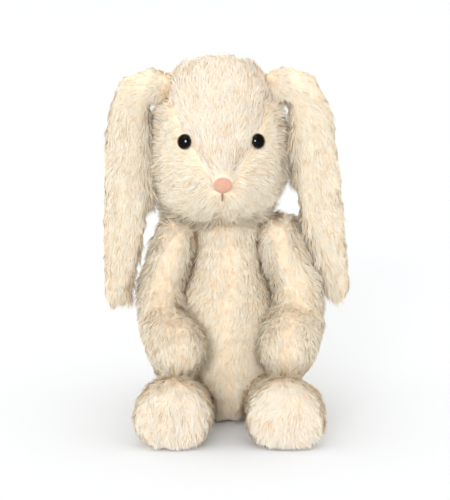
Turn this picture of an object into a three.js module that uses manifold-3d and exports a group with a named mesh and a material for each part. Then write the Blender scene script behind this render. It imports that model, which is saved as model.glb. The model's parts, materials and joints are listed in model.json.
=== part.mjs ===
// A seated lop-eared plush rabbit in millimetres, +Z up, facing -Y.
// It rests on z = 0, and the origin is under the middle of its bounding box.
import * as THREE from 'three';
import { mergeVertices } from 'three/addons/utils/BufferGeometryUtils.js';
import Module from 'manifold-3d';

const wasm = await Module();
wasm.setup();

// ---- Driving dimensions -------------------------------------------------------------------

// Fabric and fits
const skin = 2.4;            // plush backing with the dense foot of its pile
const seam = 0.3;            // gap between two panels sewn edge to edge
const fit = 0.4;             // gap between a cover and the filling inside it
const socketFit = 0.9;       // room around a limb's round end in its socket

// Torso
const torsoHeight = 152;     // seat to the neck pivot
const torsoWidth = 104;
const torsoDepth = 98;
const neckRadius = 25;       // ball of filling that the head turns on
const neckFlat = 14;         // the neck filling starts this far above the pivot
const torsoShift = 5;        // the torso sits this far to the toy's left of the middle
const seatPanelRadius = 30;
const pouchRadius = 26;      // bean pouch in the seat
const pouchHeight = 20;
const pouchBack = 8;         // the pouch's middle, behind the torso's

// Head
const headHeight = 125;
const headWidth = 98;
const headDepth = 92;
const headForward = 5;       // head's middle, ahead of the neck pivot
const headShift = -3;        // head's middle, to the toy's left of the middle
const headTurn = 4;          // degrees to the toy's left
const chinLift = 12;         // the head's lowest point, above the neck pivot
const muzzleReach = 9;       // how far the muzzle stands out of the face
const gussetTop = 40;        // half of the gusset's width at the crown
const gussetNose = 7;        // half of its width at the nose

// Face
const eyeRadius = 6;
const eyeSpacing = 55;
const eyeHeight = 63;        // eyes above the head's lowest point
const shankRadius = 1.8;
const shankLength = 8;
const washerRadius = 5.5;
const washerThickness = 1.6;
const noseWidth = 14;
const noseHeight = 11.5;
const noseThickness = 2.6;
const noseLift = 31;         // nose above the head's lowest point
const mouthLength = 7;
const mouthThread = 0.8;     // radius of the mouth stitch

// Ears
const earLength = 214;
const earWidth = 40;
const earThickness = 16;
const earRoot = 13;          // radius of an ear's sewn root
const earSink = 7;           // how far the root is set into the side of the head
const earRootHeight = 103;   // above the head's lowest point
const earForward = 7;        // in front of the head's middle
const earGap = 1;            // between a hanging ear and the side of the head
const earRise = 25;          // degrees that an ear rises where it leaves the head
const earFlare = 13;         // how far the tip stands out of the hanging line
const earSplay = { left: 7, right: 2 };   // degrees that each ear hangs outward

// Arms
const shoulderRadius = 15.5;
const shoulderDrop = 5;      // shoulder pivot below the neck pivot
const elbowWidth = { left: 35, right: 29 };
const elbowDrop = 55;        // elbow below the shoulder pivot
const elbowForward = 14;     // and in front of it
const pawWidth = 42;
const pawOut = { left: 47, right: 39.5 };   // each paw's middle, from the torso's
const sideGap = 1.2;         // between an arm and the torso, the head or the leg

// Legs
const legWidth = 44;
const hipSpacing = 70;
const footWidth = 57;
const footHeight = 57;
const footOut = { left: 44, right: 41.5 };  // each foot's middle, from the torso's
const footThickness = 27;
const soleRim = 9;           // the sole panel's seam lies this far behind the sole
const press = 1.5;           // how much of the legs the floor flattens

// Tail and label
const tailRadius = 17;
const tailHeight = 26;
const labelWidth = 24;
const labelLength = 38;
const labelThickness = 0.6;
const labelHeight = 70;

// ---- Solids -------------------------------------------------------------------------------

const vec = (x, y, z) => new THREE.Vector3(x, y, z);
const degrees = THREE.MathUtils.degToRad;
const far = 600;             // larger than the toy, for cutting blocks

const solidOf = (geometry) => {
  const bare = geometry.clone();
  bare.deleteAttribute('normal');
  bare.deleteAttribute('uv');
  const merged = mergeVertices(bare, 1e-4);
  return new wasm.Manifold(new wasm.Mesh({
    numProp: 3,
    vertProperties: Float32Array.from(merged.attributes.position.array),
    triVerts: Uint32Array.from(merged.index.array),
  }));
};

const geometryOf = (solid) => {
  const { vertProperties, triVerts } = solid.getMesh();
  const geometry = new THREE.BufferGeometry();
  geometry.setAttribute('position', new THREE.BufferAttribute(vertProperties, 3));
  geometry.setIndex(new THREE.BufferAttribute(triVerts, 1));
  return geometry;
};

// Moves each vertex of a geometry by a function of its place.
const reshape = (geometry, move) => {
  const position = geometry.attributes.position;
  const p = new THREE.Vector3();
  for (let i = 0; i < position.count; i += 1) {
    move(p.fromBufferAttribute(position, i));
    position.setXYZ(i, p.x, p.y, p.z);
  }
  return geometry;
};

// A solid of revolution about Z: the outline's x is the radius and its y the height.
const turned = (outline, sides) => {
  const points = outline.map((p) => new THREE.Vector2(Math.max(p.x, 0), p.y));
  return new THREE.LatheGeometry(points, sides).rotateX(Math.PI / 2);
};

// A round-ended outline with the given half widths at its stations.
const outlineThrough = (points, steps) => {
  const curve = new THREE.SplineCurve(points.map(([r, z]) => new THREE.Vector2(r, z)));
  const outline = curve.getPoints(steps);
  outline[0].x = 0;
  outline[outline.length - 1].x = 0;
  return outline;
};

// The same surface moved inward along its normals.
const inset = (geometry, depth) => {
  const bare = geometry.clone();
  bare.deleteAttribute('normal');
  bare.deleteAttribute('uv');
  const merged = mergeVertices(bare, 1e-4);
  merged.computeVertexNormals();
  const { position, normal } = merged.attributes;
  for (let i = 0; i < position.count; i += 1) {
    position.setXYZ(
      i,
      position.getX(i) - normal.getX(i) * depth,
      position.getY(i) - normal.getY(i) * depth,
      position.getZ(i) - normal.getZ(i) * depth,
    );
  }
  return merged;
};

const ball = (centre, radius, sides = 14) => {
  const sphere = new THREE.SphereGeometry(radius, sides, Math.round(sides * 0.6));
  return solidOf(sphere.rotateX(Math.PI / 2).translate(centre.x, centre.y, centre.z));
};

// A block between two corners.
const block = (low, high) => {
  const size = high.clone().sub(low);
  const middle = low.clone().add(high).multiplyScalar(0.5);
  const box = new THREE.BoxGeometry(size.x, size.y, size.z);
  return solidOf(box.translate(middle.x, middle.y, middle.z));
};

// A closed outline in the XZ plane, drawn out along Y.
const prism = (points, fromY, toY) => {
  const shape = new THREE.Shape(points.map(([x, z]) => new THREE.Vector2(x, z)));
  const plate = new THREE.ExtrudeGeometry(shape, { depth: toY - fromY, bevelEnabled: false });
  return solidOf(plate.rotateX(Math.PI / 2).translate(0, toY, 0));
};

// Everything on one side of a plane through a point, square to an axis.
const beyond = (axis, value, sign) => {
  const low = vec(-far, -far, -far);
  const high = vec(far, far, far);
  (sign > 0 ? low : high)[axis] = value;
  return block(low, high);
};

// A cylinder from one point to another.
const rod = (from, to, radius, sides = 12) => {
  const along = to.clone().sub(from);
  const cylinder = new THREE.CylinderGeometry(radius, radius, along.length(), sides);
  const turn = new THREE.Quaternion().setFromUnitVectors(
    vec(0, 1, 0),
    along.clone().normalize(),
  );
  const middle = from.clone().add(to).multiplyScalar(0.5);
  return solidOf(cylinder.applyQuaternion(turn).translate(middle.x, middle.y, middle.z));
};

// ---- Assembly -----------------------------------------------------------------------------

const rabbit = new THREE.Group();

const finishes = {
  plush: { color: 0xf3e2c4, roughness: 0.95, metalness: 0 },
  palePlush: { color: 0xf5ead4, roughness: 0.95, metalness: 0 },
  filling: { color: 0xf7f6f2, roughness: 1, metalness: 0 },
  pouch: { color: 0xe4dccb, roughness: 0.9, metalness: 0 },
  blackPlastic: { color: 0x0d0c0d, roughness: 0.08, metalness: 0 },
  whitePlastic: { color: 0xe9e9e6, roughness: 0.5, metalness: 0 },
  pinkThread: { color: 0xe3b3a1, roughness: 0.6, metalness: 0 },
  brownThread: { color: 0xb9957a, roughness: 0.7, metalness: 0 },
  ribbon: { color: 0xf4f1ea, roughness: 0.6, metalness: 0 },
};

const meshOf = (name, solid, finish) => {
  const material = new THREE.MeshStandardMaterial(finishes[finish]);
  const mesh = new THREE.Mesh(geometryOf(solid), material);
  mesh.name = name;
  return mesh;
};

const add = (name, solid, finish) => rabbit.add(meshOf(name, solid, finish));

// ---- Places worked out from the dimensions ------------------------------------------------

const neck = vec(torsoShift, 0, torsoHeight);
const legRadius = legWidth / 2;
const legLine = legRadius - press;                 // height of a leg's middle line
const legTop = legLine + legRadius;

// An outline's radius at a height.
const radiusAt = (points, z) => {
  const next = Math.max(points.findIndex((p) => p.y > z), 1);
  const a = points[next - 1];
  const b = points[next];
  return a.x + (b.x - a.x) * (z - a.y) / (b.y - a.y);
};

// The torso's half width as a share of its widest, at shares of its height.
const torsoShape = [
  [0.82, 0.03], [0.96, 0.13], [1.00, 0.28], [0.88, 0.46], [0.70, 0.63],
  [0.53, 0.78], [0.46, 0.92], [0.34, 1.04],
];
const torsoBase = 0.66 * torsoWidth / 2;

const torsoPath = new THREE.Path();
torsoPath.moveTo(0, 0);
torsoPath.lineTo(torsoBase, 0);
torsoPath.splineThru(torsoShape.map(
  ([r, z]) => new THREE.Vector2(r * torsoWidth / 2, z * torsoHeight),
));
torsoPath.lineTo(0, 1.08 * torsoHeight);
const torsoPoints = torsoPath.getPoints(2);
const torsoSquash = torsoDepth / torsoWidth;
const torsoBack = (x, z) => torsoSquash * Math.sqrt(radiusAt(torsoPoints, z) ** 2 - x ** 2);

const shoulder = {
  x: 0.48 * torsoWidth / 2 + shoulderRadius,
  y: 0,
  z: torsoHeight - shoulderDrop,
};
// An elbow stands out far enough for the whole upper arm to clear the torso.
const elbowAt = (hand) => {
  const x = Math.max(...[0.25, 0.5, 0.75, 1].map((share) => {
    const beside = radiusAt(torsoPoints, shoulder.z - share * elbowDrop);
    const half = shoulderRadius + share * (elbowWidth[hand] / 2 - shoulderRadius);
    return shoulder.x + (beside + 2 * sideGap + half + share - shoulder.x) / share;
  }));
  return { x, y: -elbowForward, z: shoulder.z - elbowDrop };
};
const pawRadius = pawWidth / 2;
const pawLine = legTop + 2 * sideGap + pawRadius;
const beside = torsoWidth / 2 + pawRadius + sideGap;
const before = torsoDepth / 2 + pawRadius + sideGap;
// A paw lies against the belly: on an ellipse around it, as far out as the paw's middle.
const pawAt = (hand) => ({
  x: pawOut[hand],
  y: -before * Math.sqrt(1 - (pawOut[hand] / beside) ** 2),
  z: pawLine,
});
const pawFront = Math.min(pawAt('left').y, pawAt('right').y) - pawRadius;

const hip = { x: hipSpacing / 2, y: legRadius * 0.6 - torsoDepth / 2, z: legLine };
const footLine = footHeight / 2 - press;
const soleY = pawFront - footThickness - 2 * sideGap;

// ---- Soft forms ---------------------------------------------------------------------------

// A soft limb: a round outline along a spine. It is cut while it is straight, and then bent.
const limb = ({ outline, spine, acrossOf, squash = 1, sides = 14, mould = () => {} }) => {
  const length = spine.getLength();
  const form = reshape(turned(outline, sides), (p) => {
    p.y *= squash;
    mould(p);
  });
  const straight = (depth) => solidOf(depth ? inset(form, depth) : form);
  const bend = (solid) => solidOf(reshape(geometryOf(solid), (p) => {
    const u = THREE.MathUtils.clamp(p.z / length, 0, 1);
    const tangent = spine.getTangentAt(u);
    const across = acrossOf(tangent);
    const out = tangent.clone().cross(across);
    const middle = spine.getPointAt(u).addScaledVector(tangent, p.z - u * length);
    p.copy(middle.addScaledVector(across, p.x).addScaledVector(out, p.y));
  }));
  return { straight, bend };
};

// The direction nearest to another one that is square to a tangent.
const squareTo = (direction) => (tangent) => direction.clone()
  .addScaledVector(tangent, -direction.dot(tangent)).normalize();

// Two panels of a cover that is split along its length.
const twoPanels = (part, axis) => {
  const cover = part.straight(0).subtract(part.straight(skin));
  return [1, -1].map((sign) => cover.intersect(beyond(axis, sign * seam / 2, sign)));
};

// ---- Torso --------------------------------------------------------------------------------

// The radius of a faceted round that a true round of this radius fits in.
const around = (radius) => radius / Math.cos(Math.PI / 12);

// Room for a leg's round end and for its swing down, larger by a clearance.
const hipRoom = (side, clearance) => {
  const radius = around(legRadius + clearance);
  const centre = vec(torsoShift + side * hip.x, hip.y, hip.z);
  const below = vec(centre.x, centre.y, -radius);
  const slot = block(
    vec(centre.x - radius, centre.y - far, -far),
    vec(centre.x + radius, centre.y, centre.z),
  );
  const ahead = vec(centre.x, centre.y - far, centre.z);
  return ball(centre, radius).add(rod(below, centre, radius)).add(rod(centre, ahead, radius)).add(slot);
};

const shoulderRoom = (side, clearance) => ball(
  vec(torsoShift + side * shoulder.x, shoulder.y, shoulder.z),
  around(shoulderRadius + clearance),
);

// The torso's form, made smaller all round by a depth.
const torsoForm = (depth, sides = 18) => {
  const form = turned(torsoPoints, sides);
  reshape(form, (p) => p.set(p.x + torsoShift, p.y * torsoSquash, p.z));
  let solid = solidOf(depth ? inset(form, depth) : form);
  solid = solid.add(ball(neck, neckRadius - depth, sides));
  [-1, 1].forEach((side) => {
    solid = solid.subtract(hipRoom(side, socketFit + depth));
    solid = solid.subtract(shoulderRoom(side, socketFit + depth));
  });
  return solid;
};

const makeTorso = () => {
  const belowNeck = beyond('z', torsoHeight + neckFlat, -1);
  const cover = torsoForm(0).subtract(torsoForm(skin)).intersect(belowNeck);
  const disc = (radius) => rod(
    vec(torsoShift, 0, -1),
    vec(torsoShift, 0, skin + 2),
    radius,
    24,
  );
  add('seat_base', cover.intersect(disc(seatPanelRadius)), 'plush');
  const above = cover.subtract(disc(seatPanelRadius + seam));
  [['body_front', -1], ['body_back', 1]].forEach(([name, facing]) => {
    const half = above.intersect(beyond('y', facing * seam / 2, facing));
    [['right', -1], ['left', 1]].forEach(([hand, side]) => {
      const quarter = half.intersect(beyond('x', torsoShift + side * seam / 2, side));
      add(`${name}_${hand}`, quarter, 'plush');
    });
  });

  const filling = torsoForm(skin + fit).intersect(belowNeck);
  const pouchAt = (low, high, radius) => rod(
    vec(torsoShift, pouchBack, low),
    vec(torsoShift, pouchBack, high),
    radius,
  );
  const inner = skin + fit;
  add('seat_bean_pouch', filling.intersect(pouchAt(inner, pouchHeight, pouchRadius)), 'pouch');
  const hole = pouchAt(-1, pouchHeight + fit, pouchRadius + fit);
  add('body_stuffing', filling.subtract(hole), 'filling');
};

const makeTail = () => {
  const centre = vec(torsoShift, torsoBack(0, tailHeight) + tailRadius * 0.6, tailHeight);
  const torso = torsoForm(-fit);
  const clear = (solid) => solid.subtract(torso);
  add('tail_cover', clear(ball(centre, tailRadius).subtract(ball(centre, tailRadius - skin))), 'palePlush');
  add('tail_stuffing', clear(ball(centre, tailRadius - skin - fit)), 'filling');
};

// A blank woven label, sewn into the centre back seam and lying on the back.
const makeLabel = () => {
  const strip = new THREE.BoxGeometry(labelWidth, labelThickness, labelLength, 6, 1, 4);
  strip.translate(labelWidth / 2 + seam, labelThickness / 2 + fit, labelHeight);
  reshape(strip, (p) => p.set(p.x + torsoShift, p.y + torsoBack(p.x, p.z), p.z));
  add('care_label', solidOf(strip), 'ribbon');
};

// ---- Head, built around the neck pivot ----------------------------------------------------

const headShape = [
  [0, 0], [0.60, 0.02], [0.90, 0.12], [1.00, 0.30], [0.98, 0.50], [0.90, 0.70],
  [0.74, 0.86], [0.42, 0.97], [0, 1],
];
const headPoints = outlineThrough(
  headShape.map(([r, z]) => [r * headWidth / 2, chinLift + z * headHeight]),
  12,
);
const headMiddle = vec(headShift - torsoShift, -headForward, 0);
const noseZ = chinLift + noseLift;
const eyeZ = chinLift + eyeHeight;

// Moulds a round head: its depth, and the muzzle that stands out around the nose.
const mouldHead = (p) => {
  const front = THREE.MathUtils.smoothstep(-p.y, 0, headDepth / 3);
  const across = Math.exp(-((p.x / (headWidth * 0.22)) ** 2));
  const along = Math.exp(-(((p.z - noseZ) / (headHeight * 0.2)) ** 2));
  p.y = p.y * headDepth / headWidth - muzzleReach * front * across * along;
};

// The point on the face at a distance from the head's middle and a height.
const facePoint = (x, z) => {
  const p = vec(x, -Math.sqrt(radiusAt(headPoints, z) ** 2 - x ** 2), z);
  mouldHead(p);
  return p.add(headMiddle);
};

const faceNormal = (x, z) => {
  const step = 1;
  const alongX = facePoint(x + step, z).sub(facePoint(x - step, z));
  const alongZ = facePoint(x, z + step).sub(facePoint(x, z - step));
  return alongX.cross(alongZ).normalize();
};

const earRootAt = (side) => {
  const z = chinLift + earRootHeight;
  const x = radiusAt(headPoints, z) + earRoot - earSink;
  return vec(side * x, -earForward, z).add(headMiddle);
};

// Room in the head's side for an ear's round root.
const earRoom = (side, clearance) => {
  const radius = around(earRoot + clearance);
  const thick = around(earRoot * earThickness / earWidth + clearance);
  const disc = new THREE.SphereGeometry(radius, 14, 8).scale(1, thick / radius, 1);
  const at = earRootAt(side);
  return solidOf(disc.translate(at.x, at.y, at.z));
};

const headForm = (depth, sides = 20) => {
  const form = reshape(turned(headPoints, sides), mouldHead);
  form.translate(headMiddle.x, headMiddle.y, 0);
  let solid = solidOf(depth ? inset(form, depth) : form);
  [-1, 1].forEach((side) => {
    solid = solid.subtract(earRoom(side, socketFit + depth));
  });
  return solid;
};

const neckRoom = () => ball(vec(0, 0, 0), around(neckRadius) + socketFit, 20);

// The forehead gusset's outline: narrow at the nose, its seams through the eyes, wide above.
const gussetOutline = (grow) => {
  const half = [
    [gussetNose, noseZ - noseHeight / 2], [gussetNose + 1, noseZ + noseHeight / 2],
    [eyeSpacing / 2, eyeZ], [gussetTop, chinLift + headHeight * 0.8],
    [gussetTop, chinLift + headHeight + 5],
  ];
  const right = half.map(([x, z], i) => [x + grow, i ? z : z - grow]);
  return [...right, ...right.map(([x, z]) => [-x, z]).reverse()]
    .map(([x, z]) => [x + headMiddle.x, z]);
};

// A place for an eye: where its shank starts, and the way that it points out.
const eyeSeat = (side) => {
  const x = side * eyeSpacing / 2;
  return { at: facePoint(x, eyeZ), out: faceNormal(x, eyeZ) };
};

const makeEye = (head, side, hand) => {
  const { at, out } = eyeSeat(side);
  const along = (distance) => at.clone().addScaledVector(out, distance);
  const turn = new THREE.Quaternion().setFromUnitVectors(vec(0, 1, 0), out);
  const rim = skin * 0.3;
  const dome = new THREE.LatheGeometry([
    new THREE.Vector2(0, 0),
    new THREE.Vector2(eyeRadius * 0.9, 0),
    ...new THREE.Path().absellipse(0, rim, eyeRadius, eyeRadius * 0.62, 0, Math.PI / 2)
      .getPoints(4),
  ].map((p, i, all) => (i === all.length - 1 ? p.setX(0) : p)), 12);
  const base = along(rim * 2 + fit);
  dome.applyQuaternion(turn).translate(base.x, base.y, base.z);
  const shank = rod(along(-shankLength), along(rim * 2 + fit + 0.5), shankRadius, 8);
  head.add(`eye_${hand}`, solidOf(dome).add(shank), 'blackPlastic');
  const from = -skin - 2 * fit;
  const washer = rod(along(from - washerThickness), along(from), washerRadius, 12)
    .subtract(rod(along(-shankLength), along(1), shankRadius + fit / 2, 8));
  head.add(`eye_washer_${hand}`, washer, 'whitePlastic');
};

const makeHead = (head) => {
  const split = 8;          // the back panel starts behind the ears
  const outer = headForm(0);
  let cover = outer.subtract(headForm(skin)).subtract(neckRoom());
  let filling = headForm(skin + fit).subtract(neckRoom());
  [-1, 1].forEach((side) => {
    const { at, out } = eyeSeat(side);
    const along = (distance) => at.clone().addScaledVector(out, distance);
    cover = cover.subtract(rod(along(-6), along(6), shankRadius + fit, 8));
    filling = filling.subtract(rod(along(-shankLength - 1), along(6), washerRadius + fit, 12));
  });
  const front = cover.intersect(beyond('y', split - seam / 2, -1));
  const gusset = prism(gussetOutline(-seam / 2), -far, far);
  const besideGusset = prism(gussetOutline(seam / 2), -far, far);
  head.add('head_gusset', front.intersect(gusset), 'palePlush');
  const sides = front.subtract(besideGusset);
  [['right', -1], ['left', 1]].forEach(([hand, side]) => {
    const half = beyond('x', headMiddle.x + side * seam / 2, side);
    head.add(`head_side_${hand}`, sides.intersect(half), 'plush');
    makeEye(head, side, hand);
  });
  head.add('head_back', cover.intersect(beyond('y', split + seam / 2, 1)), 'plush');
  head.add('head_stuffing', filling, 'filling');

  const skinOut = headForm(-fit);
  const nosePoint = facePoint(0, noseZ);
  const nose = new THREE.SphereGeometry(1, 14, 8)
    .scale(noseWidth / 2, noseThickness, noseHeight / 2)
    .translate(nosePoint.x, nosePoint.y, nosePoint.z);
  head.add('nose', solidOf(nose).subtract(skinOut), 'pinkThread');
  const mouthTop = facePoint(0, noseZ - noseHeight / 2 - 2 * fit);
  const mouthEnd = facePoint(0, noseZ - noseHeight / 2 - mouthLength);
  const stitch = rod(mouthTop, mouthEnd, mouthThread + fit, 10).subtract(skinOut);
  head.add('mouth_stitch', stitch, 'brownThread');
  const plug = ball(vec(0, 0, 0), neckRadius, 20);
  head.add('neck_stuffing', plug.intersect(beyond('z', neckFlat + fit, 1)), 'filling');
};

// ---- Ears, built around their roots -------------------------------------------------------

const makeEar = (head, hand, side) => {
  const root = earRootAt(side);
  const hang = headWidth / 2 + earGap + earWidth / 2 - Math.abs(root.x - headMiddle.x);
  // It leaves the head rising a little, turns down on an arc, hangs, and flares at the tip.
  const rise = degrees(earRise);
  const bendRadius = hang / (1 + Math.sin(rise));
  const centre = vec(Math.sin(rise), 0, -Math.cos(rise)).multiplyScalar(bendRadius);
  const turns = 5;
  const arc = Array.from({ length: turns + 1 }, (_, i) => {
    const heading = rise - (rise + Math.PI / 2) * i / turns;
    return vec(-Math.sin(heading), 0, Math.cos(heading)).multiplyScalar(bendRadius).add(centre);
  });
  const start = vec(-Math.cos(rise), 0, -Math.sin(rise)).multiplyScalar(earRoot);
  const bottom = -earLength;
  const hanging = [[0, 0.3], [0.1, 0.5], [0.45, 0.72], [1.1, 1]]
    .map(([out, down]) => vec(hang + earFlare * out, 0, bottom * down));
  const spine = new THREE.CatmullRomCurve3(
    [start, ...arc, ...hanging].map((p) => vec(side * p.x, p.y, p.z)),
  );
  const half = earWidth / 2;
  const outline = outlineThrough([
    [0, 0], [earRoot * 0.7, earRoot * 0.3], [earRoot, earRoot], [half * 0.84, earRoot + 17],
    [half * 0.93, earLength * 0.33], [half, earLength * 0.5], [half * 0.86, earLength * 0.7],
    [half * 0.62, earLength * 0.86], [half * 0.5, earLength * 0.95], [0, earLength],
  ], 17);
  const ear = limb({
    outline,
    spine,
    acrossOf: (tangent) => vec(0, 1, 0).cross(tangent),
    squash: earThickness / earWidth,
    sides: 10,
  });
  const whole = ear.straight(0);
  const group = head.group(root, -side * degrees(earSplay[hand]));
  [['front', -1], ['back', 1]].forEach(([face, sign]) => {
    const panel = whole.intersect(beyond('y', sign * seam / 2, sign));
    group.add(`ear_${hand}_${face}`, ear.bend(panel), 'plush');
  });
};

// ---- Arms ---------------------------------------------------------------------------------

const makeArm = (hand, side) => {
  const at = (p) => vec(torsoShift + side * p.x, p.y, p.z);
  const pivot = at(shoulder);
  const elbow = elbowAt(hand);
  const paw = pawAt(hand);
  const down = at(elbow).sub(pivot).normalize();
  const end = at(paw).add(at(paw).sub(at(elbow)).normalize().multiplyScalar(pawRadius));
  const spine = new THREE.CatmullRomCurve3([
    pivot.clone().addScaledVector(down, -shoulderRadius),
    pivot, at(elbow), at(paw), end,
  ]);
  const length = spine.getLength();
  const toElbow = shoulderRadius + at(elbow).distanceTo(pivot);
  const outline = outlineThrough([
    [0, 0], [shoulderRadius * 0.7, shoulderRadius * 0.3], [shoulderRadius, shoulderRadius],
    [elbowWidth[hand] / 2, toElbow], [pawRadius, length - pawRadius * 1.15],
    [pawRadius * 0.78, length - pawRadius * 0.36], [0, length],
  ], 11);
  const arm = limb({ outline, spine, acrossOf: squareTo(vec(side, 0, 0)) });
  const [outerPanel, innerPanel] = twoPanels(arm, 'x');
  add(`arm_${hand}_outer`, arm.bend(outerPanel), 'plush');
  add(`arm_${hand}_inner`, arm.bend(innerPanel), 'plush');
  add(`arm_${hand}_stuffing`, arm.bend(arm.straight(skin + fit)), 'filling');
};

// ---- Legs ---------------------------------------------------------------------------------

const makeLeg = (hand, side) => {
  const foot = vec(torsoShift + side * footOut[hand], soleY, footLine);
  const pivot = vec(torsoShift + side * hip.x, hip.y, hip.z);
  const start = pivot.clone().add(vec(0, legRadius, 0));
  const ankle = foot.clone().add(vec(0, footThickness, legLine - footLine));
  const spine = new THREE.CatmullRomCurve3([start, pivot, ankle, foot]);
  const length = spine.getLength();
  const footRadius = footWidth / 2;
  const outline = outlineThrough([
    [0, 0], [legRadius * 0.7, legRadius * 0.3], [legRadius, legRadius],
    [legRadius * 0.97, length - footThickness - 4], [footRadius * 0.96, length - footThickness * 0.6],
    [footRadius, length - footThickness * 0.4], [footRadius * 0.86, length - footThickness * 0.14],
    [footRadius * 0.5, length - 1], [0, length],
  ], 13);
  // the foot is egg shaped, narrower above
  const mould = (p) => {
    const inFoot = THREE.MathUtils.smoothstep(p.z, length - footThickness, length);
    p.x *= 1 - 0.16 * inFoot * p.y / footRadius;
    p.y *= 1 + (footHeight / footWidth - 1) * inFoot;
  };
  const leg = limb({ outline, spine, acrossOf: squareTo(vec(1, 0, 0)), mould });
  const onFloor = (solid, height) => solid.intersect(beyond('z', height, 1));
  const cover = leg.straight(0).subtract(leg.straight(skin));
  const sole = cover.intersect(beyond('z', length - soleRim + seam, 1));
  add(`foot_${hand}_sole`, onFloor(leg.bend(sole), 0), 'palePlush');
  const tube = cover.intersect(beyond('z', length - soleRim, -1));
  [['outer', side], ['inner', -side]].forEach(([name, sign]) => {
    const panel = tube.intersect(beyond('x', sign * seam / 2, sign));
    add(`leg_${hand}_${name}`, onFloor(leg.bend(panel), 0), 'plush');
  });
  add(`leg_${hand}_stuffing`, onFloor(leg.bend(leg.straight(skin + fit)), skin + fit), 'filling');
};

// ---- The whole toy ------------------------------------------------------------------------

// A nested group with the same way of adding pieces.
const nested = (parent, place, turnZ, turnY) => {
  const group = new THREE.Group();
  group.position.copy(place);
  group.rotation.set(0, turnY, turnZ);
  parent.add(group);
  return {
    add: (name, solid, finish) => group.add(meshOf(name, solid, finish)),
    group: (at, turn) => nested(group, at, 0, turn),
  };
};

makeTorso();
makeTail();
makeLabel();
const head = nested(rabbit, neck, degrees(headTurn), 0);
makeHead(head);
[['left', 1], ['right', -1]].forEach(([hand, side]) => {
  makeEar(head, hand, side);
  makeArm(hand, side);
  makeLeg(hand, side);
});

// The origin goes under the middle of the toy.
const box = new THREE.Box3().setFromObject(rabbit, true);
const middle = box.getCenter(new THREE.Vector3());
rabbit.position.set(-middle.x, -middle.y, -box.min.z);

export default rabbit;
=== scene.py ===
"""A seated plush rabbit with long hanging ears, built around the CAD frame.

Each sewn part of the toy, such as the head or an arm, starts as one closed form made from its
CAD panels and filling. The form is remeshed, puffed up by a cloth simulation and subdivided,
then pulled in along its seams. It is cut into the panels that the real cover is sewn from, and
each panel grows its own pile of tapered strands. All lengths are in metres.
"""

import json
import math

import bmesh
import bpy
import numpy as np
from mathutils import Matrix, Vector
from mathutils.bvhtree import BVHTree


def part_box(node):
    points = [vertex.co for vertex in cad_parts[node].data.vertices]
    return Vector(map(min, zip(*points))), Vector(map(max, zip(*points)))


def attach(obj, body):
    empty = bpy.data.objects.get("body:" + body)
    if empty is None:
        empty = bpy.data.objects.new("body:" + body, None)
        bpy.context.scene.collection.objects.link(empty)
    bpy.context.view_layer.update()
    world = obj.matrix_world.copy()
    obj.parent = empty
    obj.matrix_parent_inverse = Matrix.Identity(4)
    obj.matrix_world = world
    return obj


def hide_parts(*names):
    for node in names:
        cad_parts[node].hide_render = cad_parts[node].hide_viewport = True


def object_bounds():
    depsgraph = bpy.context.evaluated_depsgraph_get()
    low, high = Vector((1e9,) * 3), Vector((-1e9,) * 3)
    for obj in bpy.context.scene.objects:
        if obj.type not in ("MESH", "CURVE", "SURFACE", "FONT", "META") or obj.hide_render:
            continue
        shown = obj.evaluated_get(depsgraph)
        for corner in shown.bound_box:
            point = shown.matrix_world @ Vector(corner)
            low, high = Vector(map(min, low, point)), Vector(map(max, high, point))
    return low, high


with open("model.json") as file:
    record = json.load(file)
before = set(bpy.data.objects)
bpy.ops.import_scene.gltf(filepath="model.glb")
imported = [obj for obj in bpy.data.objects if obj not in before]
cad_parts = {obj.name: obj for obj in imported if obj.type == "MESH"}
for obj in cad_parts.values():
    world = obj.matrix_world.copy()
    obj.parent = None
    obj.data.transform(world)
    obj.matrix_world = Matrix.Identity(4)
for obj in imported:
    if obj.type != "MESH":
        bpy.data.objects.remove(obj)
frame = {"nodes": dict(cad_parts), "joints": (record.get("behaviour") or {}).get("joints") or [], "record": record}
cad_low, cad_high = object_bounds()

MM = 0.001

# ---- Driving values -----------------------------------------------------------------------

COVER = 1.2 * MM            # thickness of the plush backing
PRESSURE = 4.0              # of the filling on the cover
CLOTH_FRAMES = 20           # length of the simulation that the pressure acts in
PLUMP = 1.6 * MM            # how far a stuffed cover stands outside its CAD panels
ROOM_SHARE = 0.4            # how much of the gap to another body a cover may take up
RELAX_IN, RELAX_OUT = 0.55, -0.57   # shares of the way to its neighbours that a point moves
RELAX_FIRST, RELAX_LAST = 12, 3     # rounds before and after the simulation
SEAM_DEPTH = 1.3 * MM       # how far a seam pulls the cover in
SEAM_REACH = 3.5 * MM       # and how far from the seam that shows
PILE_WIDTH = 0.5 * MM       # a strand at its root
PILE_DENSITY = 3.4e6        # strands in a square metre
WIDTH_SPREAD = (0.7, 1.3)   # a strand's width, as a share of that
LENGTH_SPREAD = (0.6, 1.25)
BEND_AT = 0.55              # share of a strand's length at which it narrows and bends
MID_WIDTH = 0.8             # its width there
SKIN_SHADE, BLADE_SHADE = 0.85, 0.15    # what a strand's normal takes from cover and blade
PILE_RISE = 0.45            # how steeply a strand leaves the cover
RISE_SPREAD = (0.65, 1.35)
FRINGE_NEAR = (1.5 * MM, 3 * MM)    # gaps over which the fringe sets in
FRINGE_FAR = (12 * MM, 18 * MM)     # and over which it ends
FRINGE_RISE = 0.8           # and how much more steeply where it bridges a gap
FRINGE_TOP = 0.65           # how much of that is lost round the ears' roots
FULL_PILE_GAP = 7 * MM      # room that pile needs to stand at its full length
CREASE_SHADE_GAPS = (0.5 * MM, 11 * MM)   # gaps over which the painted shade in creases fades out
CREASE_SHADE = 0.3           # how strongly painted shade, in the roots' colour, darkens where covers meet and along seams
NAP_JITTER = 0.17           # how far strands lean out of the nap
TWIST_JITTER = 0.55         # and turn about their length
DROOP = 0.35                # how far a strand's tip bends down onto the cover
SINK = 0.10                 # how far the whole of a strand sinks towards the cover
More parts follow.
